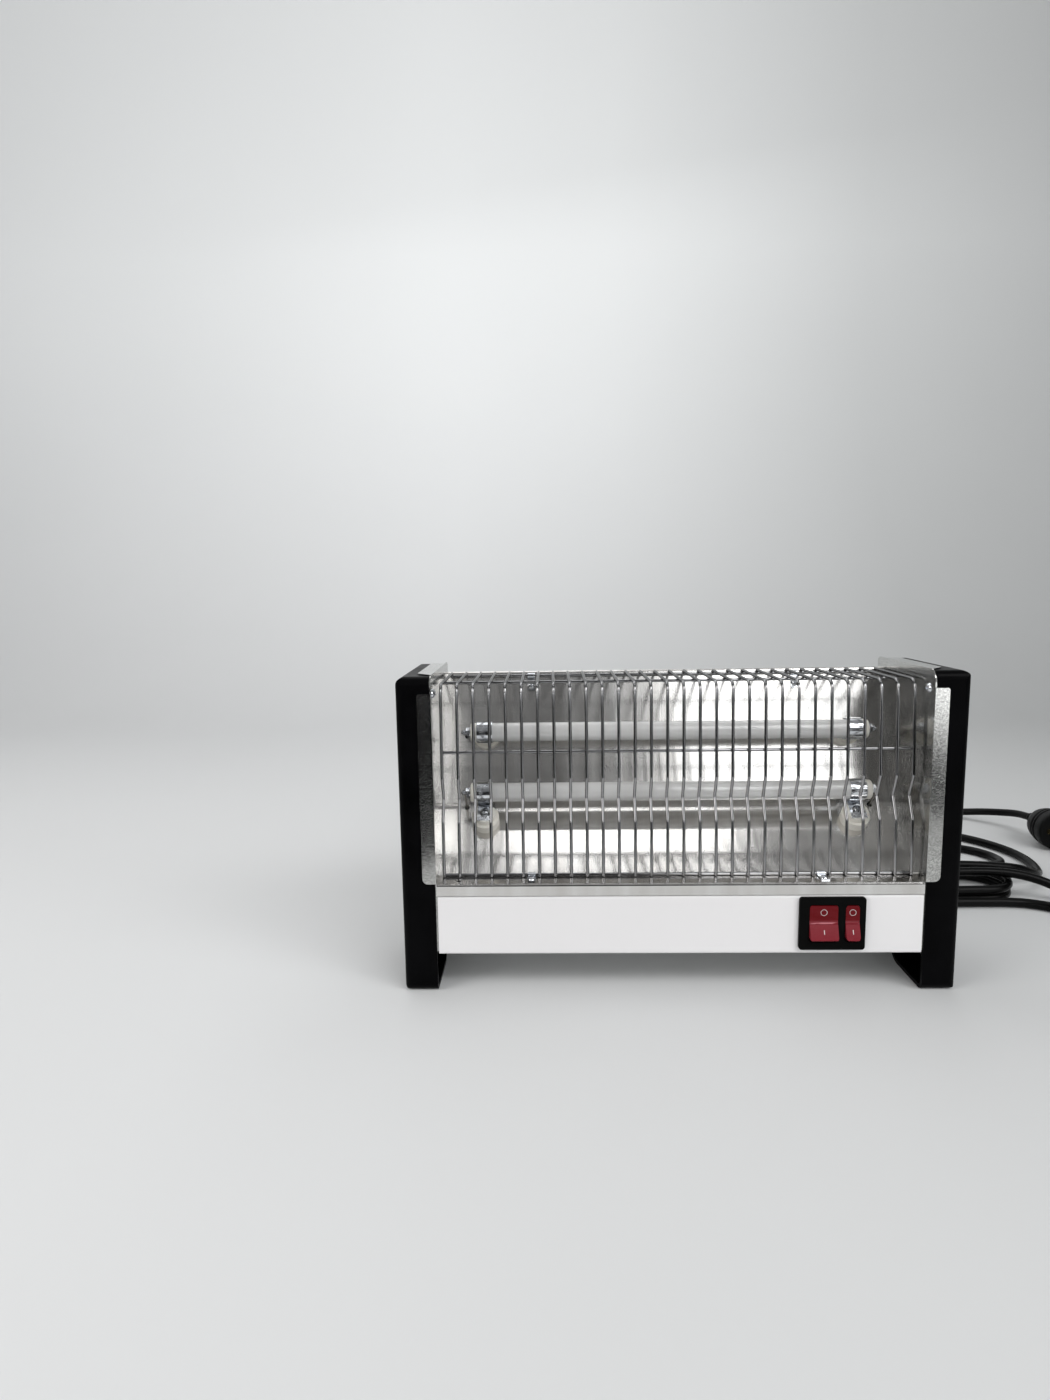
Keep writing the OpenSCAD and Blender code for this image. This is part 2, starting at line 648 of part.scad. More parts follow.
module guard_screws() {
  color(zinc) guard_seats() translate([0, -guard_screw_off, 0.7]) screw(screw_d, 6, 5, 1.6);
}

// Tubes -----------------------------------------------------------------

module tube(c) {
  color(quartz, 0.8) translate([0, c.x, c.y]) difference() {
    rod_x(tube_d, -tube_len / 2, tube_len / 2);
    rod_x(tube_bore, -tube_len / 2 - cut, tube_len / 2 + cut);
  }
}

module upper_tube() {
  tube(high_axis);
}

module lower_tube() {
  tube(low_axis);
}

cap_plug = 4;
stud_head = 2;

// Wound element as its outer cylinder, with a plain leg to each stud
module element(c) {
  core = tube_len / 2 - cap_plug - stud_head - 6;
  color(nichrome) translate([0, c.x, c.y]) {
    rod_x(element_d, -core, core);
    both() rod_x(1.5, core - cut, tube_len / 2 - cap_plug - stud_head);
  }
}

module upper_element() {
  element(high_axis);
}

module lower_element() {
  element(low_axis);
}

module at_tube_ends() {
  for (c = [low_axis, high_axis]) translate([0, c.x, c.y]) both()
    translate([tube_len / 2, 0, 0]) rotate([0, 90, 0]) children();
}

module tube_end_caps() {
  color(ceramic) at_tube_ends() rotate_extrude() difference() {
    union() {
      square([tube_d / 2, cap_t]);
      translate([0, -cap_plug]) square([tube_bore / 2 - skin, cap_plug + 0.5]);
    }
    translate([-cut, -cap_plug - cut]) square([stud_d / 2 + slide + cut, cap_t + cap_plug + 2 * cut]);
    translate([tube_d / 2 - 0.6, cap_t]) rotate(-45) square([2, 1.2]);
  }
}

module terminal_studs() {
  color(brass) at_tube_ends() {
    translate([0, 0, -cap_plug - stud_head]) cylinder(d = stud_d + 2.5, h = stud_head);
    translate([0, 0, -cap_plug - 0.5]) cylinder(d = stud_d, h = cap_plug + cap_t + stud_end - 1);
    translate([0, 0, cap_t + stud_end - 2.2]) sphere(d = stud_d + 0.6);
  }
}

module terminal_nuts() {
  color(zinc) at_tube_ends() translate([0, 0, cap_t]) {
    difference() {
      cylinder(d = 8, h = 0.9);
      translate([0, 0, -cut]) cylinder(d = stud_d + 2 * slide, h = 3);
    }
    translate([0, 0, 0.7]) hex_nut(stud_d, 5.5, 2.4);
  }
}

// Tube clips ------------------------------------------------------------

// Lower clip: a band round the tube that ends in a tongue over the ceramic
module lower_tube_clips() {
  color(zinc) on_low(0) difference() {
    along_x(-clip_w / 2, clip_w / 2) difference() {
      union() {
        translate([low_clip_reach, low_rise]) circle(clip_r);
        translate([-6, spacer_h]) square([low_clip_reach + 6, clip_t]);
      }
      translate([low_clip_reach, low_rise]) circle(clip_bore / 2);
    }
    translate([0, 0, spacer_h - cut]) cylinder(d = clip_screw_d + 2 * skin, h = clip_t + 2 * cut);
  }
}

// Upper clip: a band with a foot behind the tube, tapped for a screw from behind
module upper_tube_clips() {
  color(zinc) on_high(0) difference() {
    along_x(-clip_w / 2, clip_w / 2) difference() {
      union() {
        translate([0, high_rise]) circle(clip_r);
        translate([-6, spacer_h]) square([12, clip_t]);
      }
      translate([0, high_rise]) circle(clip_bore / 2);
    }
    translate([0, 0, spacer_h - cut]) cylinder(d = clip_screw_d + 2 * slide, h = 1.6 + cut);
  }
}

module spacer() {
  difference() {
    union() {
      cylinder(d = spacer_d, h = spacer_foot_h);
      cylinder(d = spacer_neck_d, h = spacer_h);
    }
    translate([0, 0, -cut]) cylinder(d = spacer_bore, h = spacer_h + 2 * cut);
  }
}

module ceramic_spacers() {
  color(ceramic) {
    on_low(0) spacer();
    on_high(0) spacer();
  }
}

module clip_screws() {
  back = sheet_t + 5;
  color(zinc) {
    on_low(0) translate([0, 0, spacer_h + clip_t]) screw(clip_screw_d, spacer_h + clip_t + back, 7, 2.5);
    on_high(0) translate([0, 0, -sheet_t]) rotate([180, 0, 0])
      screw(clip_screw_d, spacer_h + sheet_t + clip_t / 2, 7, 2.5);
  }
}

module clip_nuts() {
  color(zinc) on_low(0) translate([0, 0, -sheet_t - 3.2]) hex_nut(clip_screw_d, 7, 3.2);
}

// Bare leads: from each stud down through the reflector
lead_d = 1.2;
lead_tail = 6;
lead_x = tube_len / 2 + cap_t + stud_end - 3;

// Each lead's place on its tube axis, with Z square to the slope behind it
module at_leads() {
  for (q = [[low_axis, low_rise, slope_low], [high_axis, high_rise, 90 - slope_high]]) {
    $rise = q[1];
    both() translate([lead_x, q[0].x, q[0].y]) rotate([q[2], 0, 0]) children();
  }
}

module lead_wires() {
  color(nichrome) at_leads() translate([0, 0, -$rise - lead_tail])
    cylinder(d = lead_d, h = $rise + lead_tail - stud_d / 2 + 0.3, $fn = 16);
}

// Switch ----------------------------------------------------------------

// Middle of each window along the width
wide_x = switch_x - bezel_w / 2 + 6 + wide_w / 2;
narrow_x = switch_x + bezel_w / 2 - 3.5 - narrow_w / 2;
pin_reach = 1.2;
housing_d = 20;
pocket_d = 9;

module window(x, w, r, g) {
  round_rect([x - w / 2 + g, switch_z - window_h / 2 + g], [x + w / 2 - g, switch_z + window_h / 2 - g],
    [r, r, r, r]);
}

module switch_housing() {
  color(black) difference() {
    union() {
      along_y(-bezel_t, 0) round_rect([switch_x - bezel_w / 2, switch_z - bezel_h / 2],
        [switch_x + bezel_w / 2, switch_z + bezel_h / 2], [2, 2, 2, 2]);
      along_y(-0.5, housing_d) round_rect([switch_x - bezel_w / 2 + 2, switch_z - bezel_h / 2 + 2],
        [switch_x + bezel_w / 2 - 2, switch_z + bezel_h / 2 - 2], [1, 1, 1, 1]);
    }
    along_y(-bezel_t - cut, pocket_d) window(wide_x, wide_w, 2, 0);
    along_y(-bezel_t - cut, pocket_d) window(narrow_x, narrow_w, 2.6, 0);
    for (q = [[wide_x, wide_w], [narrow_x, narrow_w]]) translate([0, pivot_y, switch_z])
      rod_x(pin_d + 2 * slide, q[0] - q[1] / 2 - pin_reach - slide, q[0] + q[1] / 2 + pin_reach + slide);
  }
}

// Rocker in its middle position: a shallow V face with ends that follow the pin
module rocker_body(w, r) {
  side = 0.2;
  intersection() {
    along_x(-w / 2 + side, w / 2 - side) difference() {
      intersection() {
        circle(rocker_r);
        translate([-rocker_r, -rocker_r]) square([rocker_r + 1.5, 2 * rocker_r]);
      }
      for (e = [-1, 1]) mirror([0, e > 0 ? 0 : 1]) translate([-pivot_depth, 0]) rotate(throw_half)
        translate([-20, -1]) square([20, 25]);
    }
    along_y(-rocker_r - cut, 3) round_rect([-w / 2 + side, -rocker_r], [w / 2 - side, rocker_r], [r, r, r, r]);
  }
  rod_x(pin_d, -w / 2 - pin_reach, w / 2 + pin_reach);
}

module at_rest(x) {
  translate([x, pivot_y, switch_z]) rotate([-throw_half, 0, 0]) children();
}

module rocker_wide() {
  color(red) at_rest(wide_x) rocker_body(wide_w, 3);
}

module rocker_narrow() {
  color(red) at_rest(narrow_x) rocker_body(narrow_w, 3.6);
}

module switch_terminals() {
  color(brass) for (x = [wide_x - 5, wide_x + 5, narrow_x], z = [-9, 0, 9])
    translate([x - 3, housing_d, switch_z + z - 0.4]) cube([6, 8, 0.8]);
}

module terminal_block() {
  block = [32, 18, 16];
  color(enamel) translate([20, 40, panel_low + sheet_t]) difference() {
    cube(block);
    for (i = [0 : 2]) translate([6 + 10 * i, -cut, 7]) rotate([-90, 0, 0]) cylinder(d = 4, h = block.y + 2 * cut);
    for (i = [0 : 2], y = [5, 13]) translate([6 + 10 * i, y, 7]) cylinder(d = 3.4, h = 20);
  }
}

// Cord and plug ---------------------------------------------------------

// Round tube through points, with given directions at its two ends
module swept(p, d, k, from, to) {
  n = len(p);
  pts = [for (i = [0 : n - 1])
    each ring(p[i], i == 0 ? from : i == n - 1 ? to : unit(p[i + 1] - p[i - 1]), d / 2, k)];
  polyhedron(pts, tube_faces(n, k));
}

module cord_gland() {
  color(black) translate([gland_at.x, cover_y - 4, gland_at.y]) rotate([-90, 0, 0]) rotate_extrude() {
    square([cord_d / 2 + 4.5, 3.9]);
    square([cord_d / 2 + 2.5, 6]);
    translate([0, 4 + sheet_t]) square([cord_d / 2 + 4, 3]);
    polygon([[0, 5], [cord_d / 2 + 2.5, 5],
      [cord_d / 2 + 1.2, 4 + sheet_t + gland_len], [0, 4 + sheet_t + gland_len]]);
  }
}

module power_cord() {
  color(black) swept(cord_route, cord_d, 8, [0, 1, 0], [-1, 0, 0]);
}

module plug_cord() {
  color(black) swept(plug_route, cord_d, 8, [1, 0, 0], [0, -1, 0]);
}

module cord_hank() {
  color(black) swept(hank_pts, cord_d, 6, [-1, 0, 0], [1, 0, 0]);
}

plug_d = 36;
plug_len = 48;
pin_pitch = 19;
plug_pin_d = 4.8;
plug_pin_len = 19;
pin_root = 6;
pin_root_d = 4;

module plug_body() {
  color(black) translate(plug_at) rotate([90, 0, 0]) difference() {
    rotate_extrude() polygon([[0, 0], [cord_d / 2 + 1, 0], [cord_d / 2 + 3, 11], [plug_d / 2 - 4, 19],
      [plug_d / 2 - 0.6, 30], [plug_d / 2, 36], [plug_d / 2, plug_len - 1], [plug_d / 2 - 1, plug_len],
      [0, plug_len]]);
    for (e = [-1, 1]) translate([-3, e * plug_d / 2 - 2, plug_len - 12]) cube([6, 4, 20]);
    for (e = [-1, 1]) translate([e * pin_pitch / 2, 0, plug_len - pin_root])
      cylinder(d = pin_root_d + 2 * slide, h = 2 * pin_root);
  }
}

module plug_pins() {
  color(brass) translate(plug_at) rotate([90, 0, 0]) for (e = [-1, 1])
    translate([e * pin_pitch / 2, 0, plug_len]) {
      translate([0, 0, -pin_root]) cylinder(d = pin_root_d, h = pin_root + 0.5);
      cylinder(d = plug_pin_d, h = plug_pin_len - 1);
      translate([0, 0, plug_pin_len - 1.01]) cylinder(d1 = plug_pin_d, d2 = plug_pin_d - 1.8, h = 1.01);
    }
}

place() left_cheek();
place() right_cheek();
place() left_end_plate();
place() right_end_plate();
place() cheek_screws();
place() reflector();
place() front_panel();
place() base_plate();
place() back_cover();
place() cover_screws();
place() guard_wires();
place() guard_cross_wires();
place() guard_clips();
place() guard_screws();
place() upper_tube();
place() lower_tube();
place() upper_element();
place() lower_element();
place() tube_end_caps();
place() terminal_studs();
place() terminal_nuts();
place() upper_tube_clips();
place() lower_tube_clips();
place() ceramic_spacers();
place() clip_screws();
place() clip_nuts();
place() lead_wires();
place() switch_housing();
place() rocker_wide();
place() rocker_narrow();
place() switch_terminals();
place() terminal_block();
place() cord_gland();
place() power_cord();
place() plug_cord();
place() cord_hank();
place() plug_body();
place() plug_pins();
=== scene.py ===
import math
import bpy
import bmesh
from mathutils import Matrix, Vector


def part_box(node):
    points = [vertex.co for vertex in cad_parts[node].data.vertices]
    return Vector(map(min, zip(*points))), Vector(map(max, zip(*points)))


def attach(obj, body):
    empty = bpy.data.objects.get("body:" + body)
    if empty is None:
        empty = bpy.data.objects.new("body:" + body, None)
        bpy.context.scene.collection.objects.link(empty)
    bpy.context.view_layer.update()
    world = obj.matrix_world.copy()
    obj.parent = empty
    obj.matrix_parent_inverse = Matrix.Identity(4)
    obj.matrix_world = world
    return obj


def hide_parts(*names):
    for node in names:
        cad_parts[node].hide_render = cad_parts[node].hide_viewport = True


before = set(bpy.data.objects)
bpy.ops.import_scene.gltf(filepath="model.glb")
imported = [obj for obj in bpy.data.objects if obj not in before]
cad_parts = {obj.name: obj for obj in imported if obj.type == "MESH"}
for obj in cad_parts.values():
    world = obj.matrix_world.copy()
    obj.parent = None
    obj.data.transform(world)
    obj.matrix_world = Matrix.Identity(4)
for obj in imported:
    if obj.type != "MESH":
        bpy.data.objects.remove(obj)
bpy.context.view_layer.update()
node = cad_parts

# Camera ------------------------------------------------------------------
# Stands half a metre in front of the heater, a little to its left and above it, turned slightly down.
eye = Vector((-0.0769023, -0.544633, 0.2542544))
yaw, pitch, roll = -0.03024197, 0.13980862, -0.01579424
ahead = Vector((math.sin(yaw) * math.cos(pitch), math.cos(yaw) * math.cos(pitch), -math.sin(pitch)))
side = Vector((math.cos(yaw), -math.sin(yaw), 0))
over = side.cross(ahead)
right = side * math.cos(roll) + over * math.sin(roll)
top = over * math.cos(roll) - side * math.sin(roll)
camera = bpy.data.objects.new("camera", bpy.data.cameras.new("camera"))
camera.data.sensor_width = 36
camera.data.lens = 36 * 852.1755 / 1400
camera.data.clip_start, camera.data.clip_end = 0.01, 50
camera.matrix_world = Matrix.Translation(eye) @ Matrix((right, top, -ahead)).transposed().to_4x4()
bpy.context.scene.collection.objects.link(camera)
bpy.context.scene.camera = camera

# Power cord --------------------------------------------------------------
# A 7 mm round black PVC cord, about 2.5 m long. It leaves the back through a tapered sleeve, crosses a hank
# of two and a half turns, loops back into it, and runs over the hank again and round the floor to the plug.
mid_y = 43.2007  # Y of the frame's origin in the part's own millimetres
cord_radius = 0.0035
gland_end = Vector((118, 108, 40))


def place(x, y, z):
    return Vector((x, y - mid_y, z)) / 1000


to_hank = [(0, 16.1, 39.5), (2.7, 31.8, 37.1), (11, 44.6, 32.3), (24.5, 51.5, 27.7), (40.3, 53.4, 24.3),
           (56.2, 53.2, 21.9), (72.3, 52.5, 20.5), (88.4, 52, 19.9), (104.6, 51.7, 19.7),
           (120.7, 51.4, 19.6), (136.9, 51.1, 19.6), (153, 50.3, 19.6), (168.9, 47.7, 18.8),
           (184, 42.9, 16), (198.4, 37.4, 11), (212.7, 31.7, 6.3), (227.8, 26.5, 3.9), (243, 21.1, 3.8),
           (256.8, 12.8, 3.8), (266.6, 0.2, 3.8), (270, -15.5, 3.8), (266.2, -31, 3.8),
           (256.1, -43.4, 3.8), (241.6, -50.2, 3.8), (225.6, -50, 3.8), (211.2, -42.9, 3.8),
           (201.4, -30.2, 3.8), (197.1, -14.7, 3.8), (192.8, 0.8, 3.8), (183.6, 14, 3.8),
           (170.1, 22.7, 3.8), (154.5, 26.3, 3.8), (138.3, 26.8, 3.8), (122.1, 26.8, 3.8)]
to_plug = [(124, 93.4, 11.4), (141.9, 93.3, 10.6), (159.8, 93.9, 9), (177.1, 98.3, 8),
           (190.7, 109.6, 6.5), (196.4, 126.3, 4.5), (192.9, 143.7, 3.8), (180.9, 156.8, 3.8),
           (163.9, 162.2, 3.8), (146, 162.2, 3.8), (128, 160.5, 3.8), (110.2, 161.3, 3.8),
           (93.9, 168.6, 3.8), (83.8, 183.2, 3.8), (82.7, 200.9, 3.8), (90.9, 216.6, 3.8),
           (106.2, 225.8, 3.8), (123.8, 226, 3.8), (141.4, 221.6, 3.8), (158.7, 216.8, 3.8),
           (174.9, 209.1, 3.8), (189.4, 198.6, 3.8), (201.7, 185.5, 3.8), (211.3, 170.4, 3.8),
           (218.1, 153.7, 3.8), (221.4, 136.1, 3.8), (220.7, 118.2, 3.8), (216.7, 100.6, 3.8),
           (208.6, 84.9, 5.8), (196.2, 73.1, 11), (180.6, 66.7, 16.8), (163, 64.6, 19.2),
           (145, 64.9, 20.1), (127.1, 66.1, 20.1), (109.2, 67.6, 19.8), (91.4, 70.2, 19.7),
           (73.9, 74.2, 19.9), (56.9, 80, 19.5), (41.2, 88.2, 17.4), (28.2, 99.8, 12.9),
           (18.8, 114.1, 7.5), (13.8, 130.9, 4.5), (12.7, 148.8, 3.7), (14.8, 166.7, 3.8),
           (20, 183.8, 3.8), (28.9, 199.4, 3.8), (40.8, 212.9, 3.8), (54.5, 224.5, 3.8),
           (69.4, 234.5, 3.8), (84.9, 243.5, 3.8), (100.6, 252.3, 3.8), (116.4, 260.9, 3.8),
           (132.5, 268.8, 3.8), (149.2, 275.5, 3.8), (166.5, 280.3, 3.8), (184.3, 282.6, 3.7),
           (202.2, 281.5, 3.9), (219.3, 276.3, 5.2), (234.6, 267.3, 7.7), (247.6, 255.4, 11),
           (257.9, 241.1, 14.2), (266.2, 225.3, 17.1)]
plug_at = Vector((388, 316, 18.4))


def hank_point(turns):
    """Point of the hank after so many turns: in on the floor, up a layer, out again on top."""
    part = 8 * (turns % 1)
    if part < 1:
        along, angle = -part, 270
    elif part < 3:
        along, angle = -1, 270 - 90 * (part - 1)
    elif part < 5:
        along, angle = part - 4, 90
    elif part < 7:
        along, angle = 1, 90 - 90 * (part - 5)
    else:
        along, angle = 8 - part, -90
    reach = 24 + 9.2 * (1 - turns if turns < 1 else max(0, turns - 1.5))
    climb = min(1, max(0, (turns - 1) / 0.5))
    angle = math.radians(angle)
    return Vector((224 + 35 * along + reach * math.cos(angle), 168 + reach * math.sin(angle),
                   3.8 + 7.6 * climb * climb * (3 - 2 * climb)))


on_floor = Vector((gland_end.x, gland_end.y, 0))
route = [gland_end] + [on_floor + Vector(p) for p in to_hank] + [hank_point(i / 32) for i in range(81)] \
    + [on_floor + Vector(p) for p in to_plug] + [plug_at]


def own(mesh_object, body="heater"):
    """Puts a finished piece into the scene, riding on a CAD body."""
    bpy.context.scene.collection.objects.link(mesh_object)
    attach(mesh_object, body)
    return mesh_object


line = bpy.data.curves.new("cord", "CURVE")
line.dimensions = "3D"
line.bevel_depth, line.bevel_resolution = 1, 5  # the knots' radius sets the thickness and keeps the box true
line.resolution_u = 6
line.use_fill_caps = True
spline = line.splines.new("BEZIER")
spline.bezier_points.add(len(route) - 1)
for knot, p in zip(spline.bezier_points, route):
    knot.co, knot.radius = place(*p), cord_radius
    knot.handle_left_type = knot.handle_right_type = "AUTO"
cord = own(bpy.data.objects.new("cord", line))


def effect(name, inputs, outputs):
    """A node group for one surface effect, with named values in and named values out."""
    tree = bpy.data.node_groups.new(name, "ShaderNodeTree")
    for label, kind, value in inputs:
        tree.interface.new_socket(label, in_out="INPUT", socket_type=kind).default_value = value
    for label, kind in outputs:
        tree.interface.new_socket(label, in_out="OUTPUT", socket_type=kind)
    return tree, tree.nodes.new("NodeGroupInput"), tree.nodes.new("NodeGroupOutput")


FLOAT = "NodeSocketFloat"


def wire(tree, node_type, settings=None, **sources):
    """Adds a node; each source is a plain value or an output socket for the input of that name or number."""
    made = tree.nodes.new(node_type)
    for key, value in (settings or {}).items():
        setattr(made, key, value)
    for key, value in sources.items():
        socket = made.inputs[int(key[1:])] if key[0] == "n" and key[1:].isdigit() else made.inputs[key]
        if isinstance(value, bpy.types.NodeSocket):
            tree.links.new(value, socket)
        else:
            socket.default_value = value
    return made


def number(tree, operation, a, b=0.0, c=0.0):
    """Output of a maths node."""
    return wire(tree, "ShaderNodeMath", {"operation": operation}, n0=a, n1=b, n2=c).outputs[0]


def spread(tree, value, low_in, high_in, low, high):
    """Value taken from one span of numbers to another, clamped."""
    made = wire(tree, "ShaderNodeMapRange", n0=value, n1=low_in, n2=high_in, n3=low, n4=high)
    return made.outputs[0]


# Fine moulded grain: an uneven gloss, a slight cloud in the tone and tiny pits
grain, g_in, g_out = effect("moulded grain",
                            [("Scale", FLOAT, 900), ("Low Gloss", FLOAT, 0.3), ("High Gloss", FLOAT, 0.45)],
                            [("Roughness", FLOAT), ("Height", FLOAT), ("Tone", FLOAT)])
where = wire(grain, "ShaderNodeTexCoord").outputs["Object"]
pits = wire(grain, "ShaderNodeTexNoise", Vector=where, Scale=g_in.outputs["Scale"], Detail=2.0).outputs[0]
cloud = wire(grain, "ShaderNodeTexNoise", Vector=where, Scale=38.0, Detail=3.0).outputs[0]
grain.links.new(spread(grain, cloud, 0.3, 0.7, g_in.outputs["Low Gloss"], g_in.outputs["High Gloss"]),
                g_out.inputs["Roughness"])
grain.links.new(pits, g_out.inputs["Height"])
grain.links.new(cloud, g_out.inputs["Tone"])


def finish(name):
    """A new material with its Principled shader."""
    made = bpy.data.materials.new(name)
    made.use_nodes = True
    return made, made.node_tree, made.node_tree.nodes["Principled BSDF"]


def placed(tree, group, **values):
    """A surface effect placed in a material, with its values by name."""
    made = tree.nodes.new("ShaderNodeGroup")
    made.node_tree = group
    for key, value in values.items():
        made.inputs[key.replace("_", " ")].default_value = value
    return made


def bump(tree, shader, height, strength, depth):
    """Relief of the given depth in metres from a height."""
    raised = wire(tree, "ShaderNodeBump", Height=height, Strength=strength, Distance=depth)
    tree.links.new(raised.outputs[0], shader.inputs["Normal"])


def blended(tree, shader, tone, dark, light, low=0.3, high=0.7):
    """Base colour that runs from dark to light with a tone."""
    ramp = tree.nodes.new("ShaderNodeValToRGB")
    ramp.color_ramp.elements[0].position, ramp.color_ramp.elements[1].position = low, high
    ramp.color_ramp.elements[0].color, ramp.color_ramp.elements[1].color = (*dark, 1), (*light, 1)
    tree.links.new(tone, ramp.inputs[0])
    tree.links.new(ramp.outputs[0], shader.inputs["Base Color"])


def plastic(name, dark, light, low, high, scale, depth, gloss):
    """A moulded material whose roughness runs from low to high, with grain of a scale and depth."""
    made, tree, shader = finish(name)
    moulded = placed(tree, grain, Scale=scale, Low_Gloss=low, High_Gloss=high)
    tree.links.new(moulded.outputs["Roughness"], shader.inputs["Roughness"])
    blended(tree, shader, moulded.outputs["Tone"], dark, light)
    bump(tree, shader, moulded.outputs["Height"], 0.25, depth)
    shader.inputs["Specular IOR Level"].default_value = gloss
    return made


near_black, soft_black = (0.002, 0.002, 0.002), (0.006, 0.006, 0.006)
sheath = plastic("black cord sheath", near_black, soft_black, 0.24, 0.36, 1400, 0.00006, 0.1)
cord.data.materials.append(sheath)
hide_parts("power_cord", "cord_hank", "plug_cord")


def bmesh_object(name, mesh, material):
    """A smooth-shaded object from a finished mesh, which it frees."""
    data = bpy.data.meshes.new(name)
    bmesh.ops.recalc_face_normals(mesh, faces=mesh.faces)
    for face in mesh.faces:
        face.smooth = True
    mesh.to_mesh(data)
    mesh.free()
    data.materials.append(material)
    return bpy.data.objects.new(name, data)


def turned(mesh, outline, centre, axis, up, steps=40, closed=True):
    """Spins an outline of (radius, place along the axis) points round an axis."""
    axis, up = Vector(axis).normalized(), Vector(up).normalized()
    ring = [mesh.verts.new(Vector(centre) + up * r + axis * t) for r, t in outline]
    edges = [mesh.edges.new(pair) for pair in zip(ring, ring[1:])]
    if closed:
        edges.append(mesh.edges.new((ring[-1], ring[0])))
    bmesh.ops.spin(mesh, geom=ring + edges, cent=centre, axis=axis, angle=2 * math.pi, steps=steps,
                   use_merge=True, use_duplicate=False)
    bmesh.ops.remove_doubles(mesh, verts=mesh.verts, dist=1e-6)


# Strain relief: a tapered, ringed sleeve with a flange on each side of the sheet
mesh = bmesh.new()
taper = [(0.0036, -0.0039), (0.0079, -0.0039), (0.008, -0.0036), (0.008, -0.0002), (0.006, -0.0001),
         (0.006, 0.0009), (0.0073, 0.0009), (0.0075, 0.0012), (0.0075, 0.0034), (0.0071, 0.0038)]
for i in range(6):
    start, end = 0.0046 + 0.0021 * i, 0.0046 + 0.0021 * i + 0.0013
    wide = 0.0059 - 0.00022 * i
    taper += [(wide - 0.0008, start), (wide, start + 0.0003), (wide, end), (wide - 0.0008, end + 0.0003)]
taper += [(0.0044, 0.0183), (0.0042, 0.0188), (0.0036, 0.0188)]
turned(mesh, taper, place(118, 89.2, 40), (0, 1, 0), (0, 0, 1))
gland = own(bmesh_object("strain_relief", mesh, sheath))
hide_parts("cord_gland")

# Plug: a moulded two-pin plug with a ribbed grip and brass pins
rubber = plastic("black plug rubber", near_black, soft_black, 0.35, 0.5, 700, 0.0001, 0.1)
mesh = bmesh.new()
grip = [(0.0036, 0.0), (0.0043, 0.0), (0.0045, 0.0004)]
for i in range(4):
    start = 0.0012 + 0.0025 * i
    wide = 0.0048 + 0.0004 * i
    grip += [(wide - 0.0006, start), (wide, start + 0.0004), (wide, start + 0.0014)]
    grip += [(wide - 0.0006, start + 0.0018)]
grip += [(0.0068, 0.0125), (0.0105, 0.0158), (0.014, 0.0192), (0.0156, 0.0235), (0.0168, 0.029),
         (0.0174, 0.0316), (0.0168, 0.032), (0.0168, 0.0332), (0.0177, 0.0336), (0.0178, 0.0358),
         (0.0171, 0.0362), (0.0171, 0.0374), (0.0179, 0.0378), (0.018, 0.046), (0.0177, 0.0475),
         (0.017, 0.048)]
turned(mesh, grip, place(*plug_at), (0, -1, 0), (0, 0, 1), steps=48, closed=False)
rims = [e for e in mesh.edges if e.is_boundary]
bmesh.ops.holes_fill(mesh, edges=rims, sides=0)
plug = own(bmesh_object("plug", mesh, rubber))
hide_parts("plug_body")

# Floor, backdrop and light -------------------------------------------------
# A pale grey paper sweep under five soft lamps: a strip and a wide one overhead, one high in front and one
# on each side. In reflections the room starts where the paper ends, a little in front of the heater.
mesh = bmesh.new()
bmesh.ops.create_grid(mesh, x_segments=1, y_segments=1, size=3.0)
bmesh.ops.translate(mesh, verts=mesh.verts, vec=(0, -1.2, 0))
far = [e for e in mesh.edges if all(v.co.y > 1 for v in e.verts)]
raised = bmesh.ops.extrude_edge_only(mesh, edges=far)["geom"]
bmesh.ops.translate(mesh, verts=[g for g in raised if isinstance(g, bmesh.types.BMVert)], vec=(0, 0, 3.0))
fold = [e for e in mesh.edges if len(e.link_faces) == 2]
bmesh.ops.bevel(mesh, geom=fold, offset=0.9, affect="EDGES", segments=16, profile=0.5, material=-1)
paper, tree, shader = finish("pale paper")
where = wire(tree, "ShaderNodeTexCoord").outputs["Object"]
parts = wire(tree, "ShaderNodeSeparateXYZ", Vector=where)
# Painted shade: the paper's colour darkens towards the right, standing in for the light falling off there,
# over large soft blotches in its tone.
large_blotches = wire(tree, "ShaderNodeTexNoise", Vector=where, Scale=2.0, Detail=3.0).outputs[0]
paper_tone_painted_falloff = number(tree, "MULTIPLY_ADD", large_blotches, 0.16, spread(tree, parts.outputs["X"], -0.3, 0.75, 0.85, 0.0))
blended(tree, shader, paper_tone_painted_falloff, (0.50, 0.51, 0.51), (0.76, 0.77, 0.775), 0.0, 1.0)
shader.inputs["Roughness"].default_value = 0.6
shader.inputs["Specular IOR Level"].default_value = 0.2
path = wire(tree, "ShaderNodeLightPath")
seen = path.outputs["Is Camera Ray"]
shown = number(tree, "MAXIMUM", seen, number(tree, "MAXIMUM", path.outputs["Is Glossy Ray"],
                                             path.outputs["Is Transmission Ray"]))
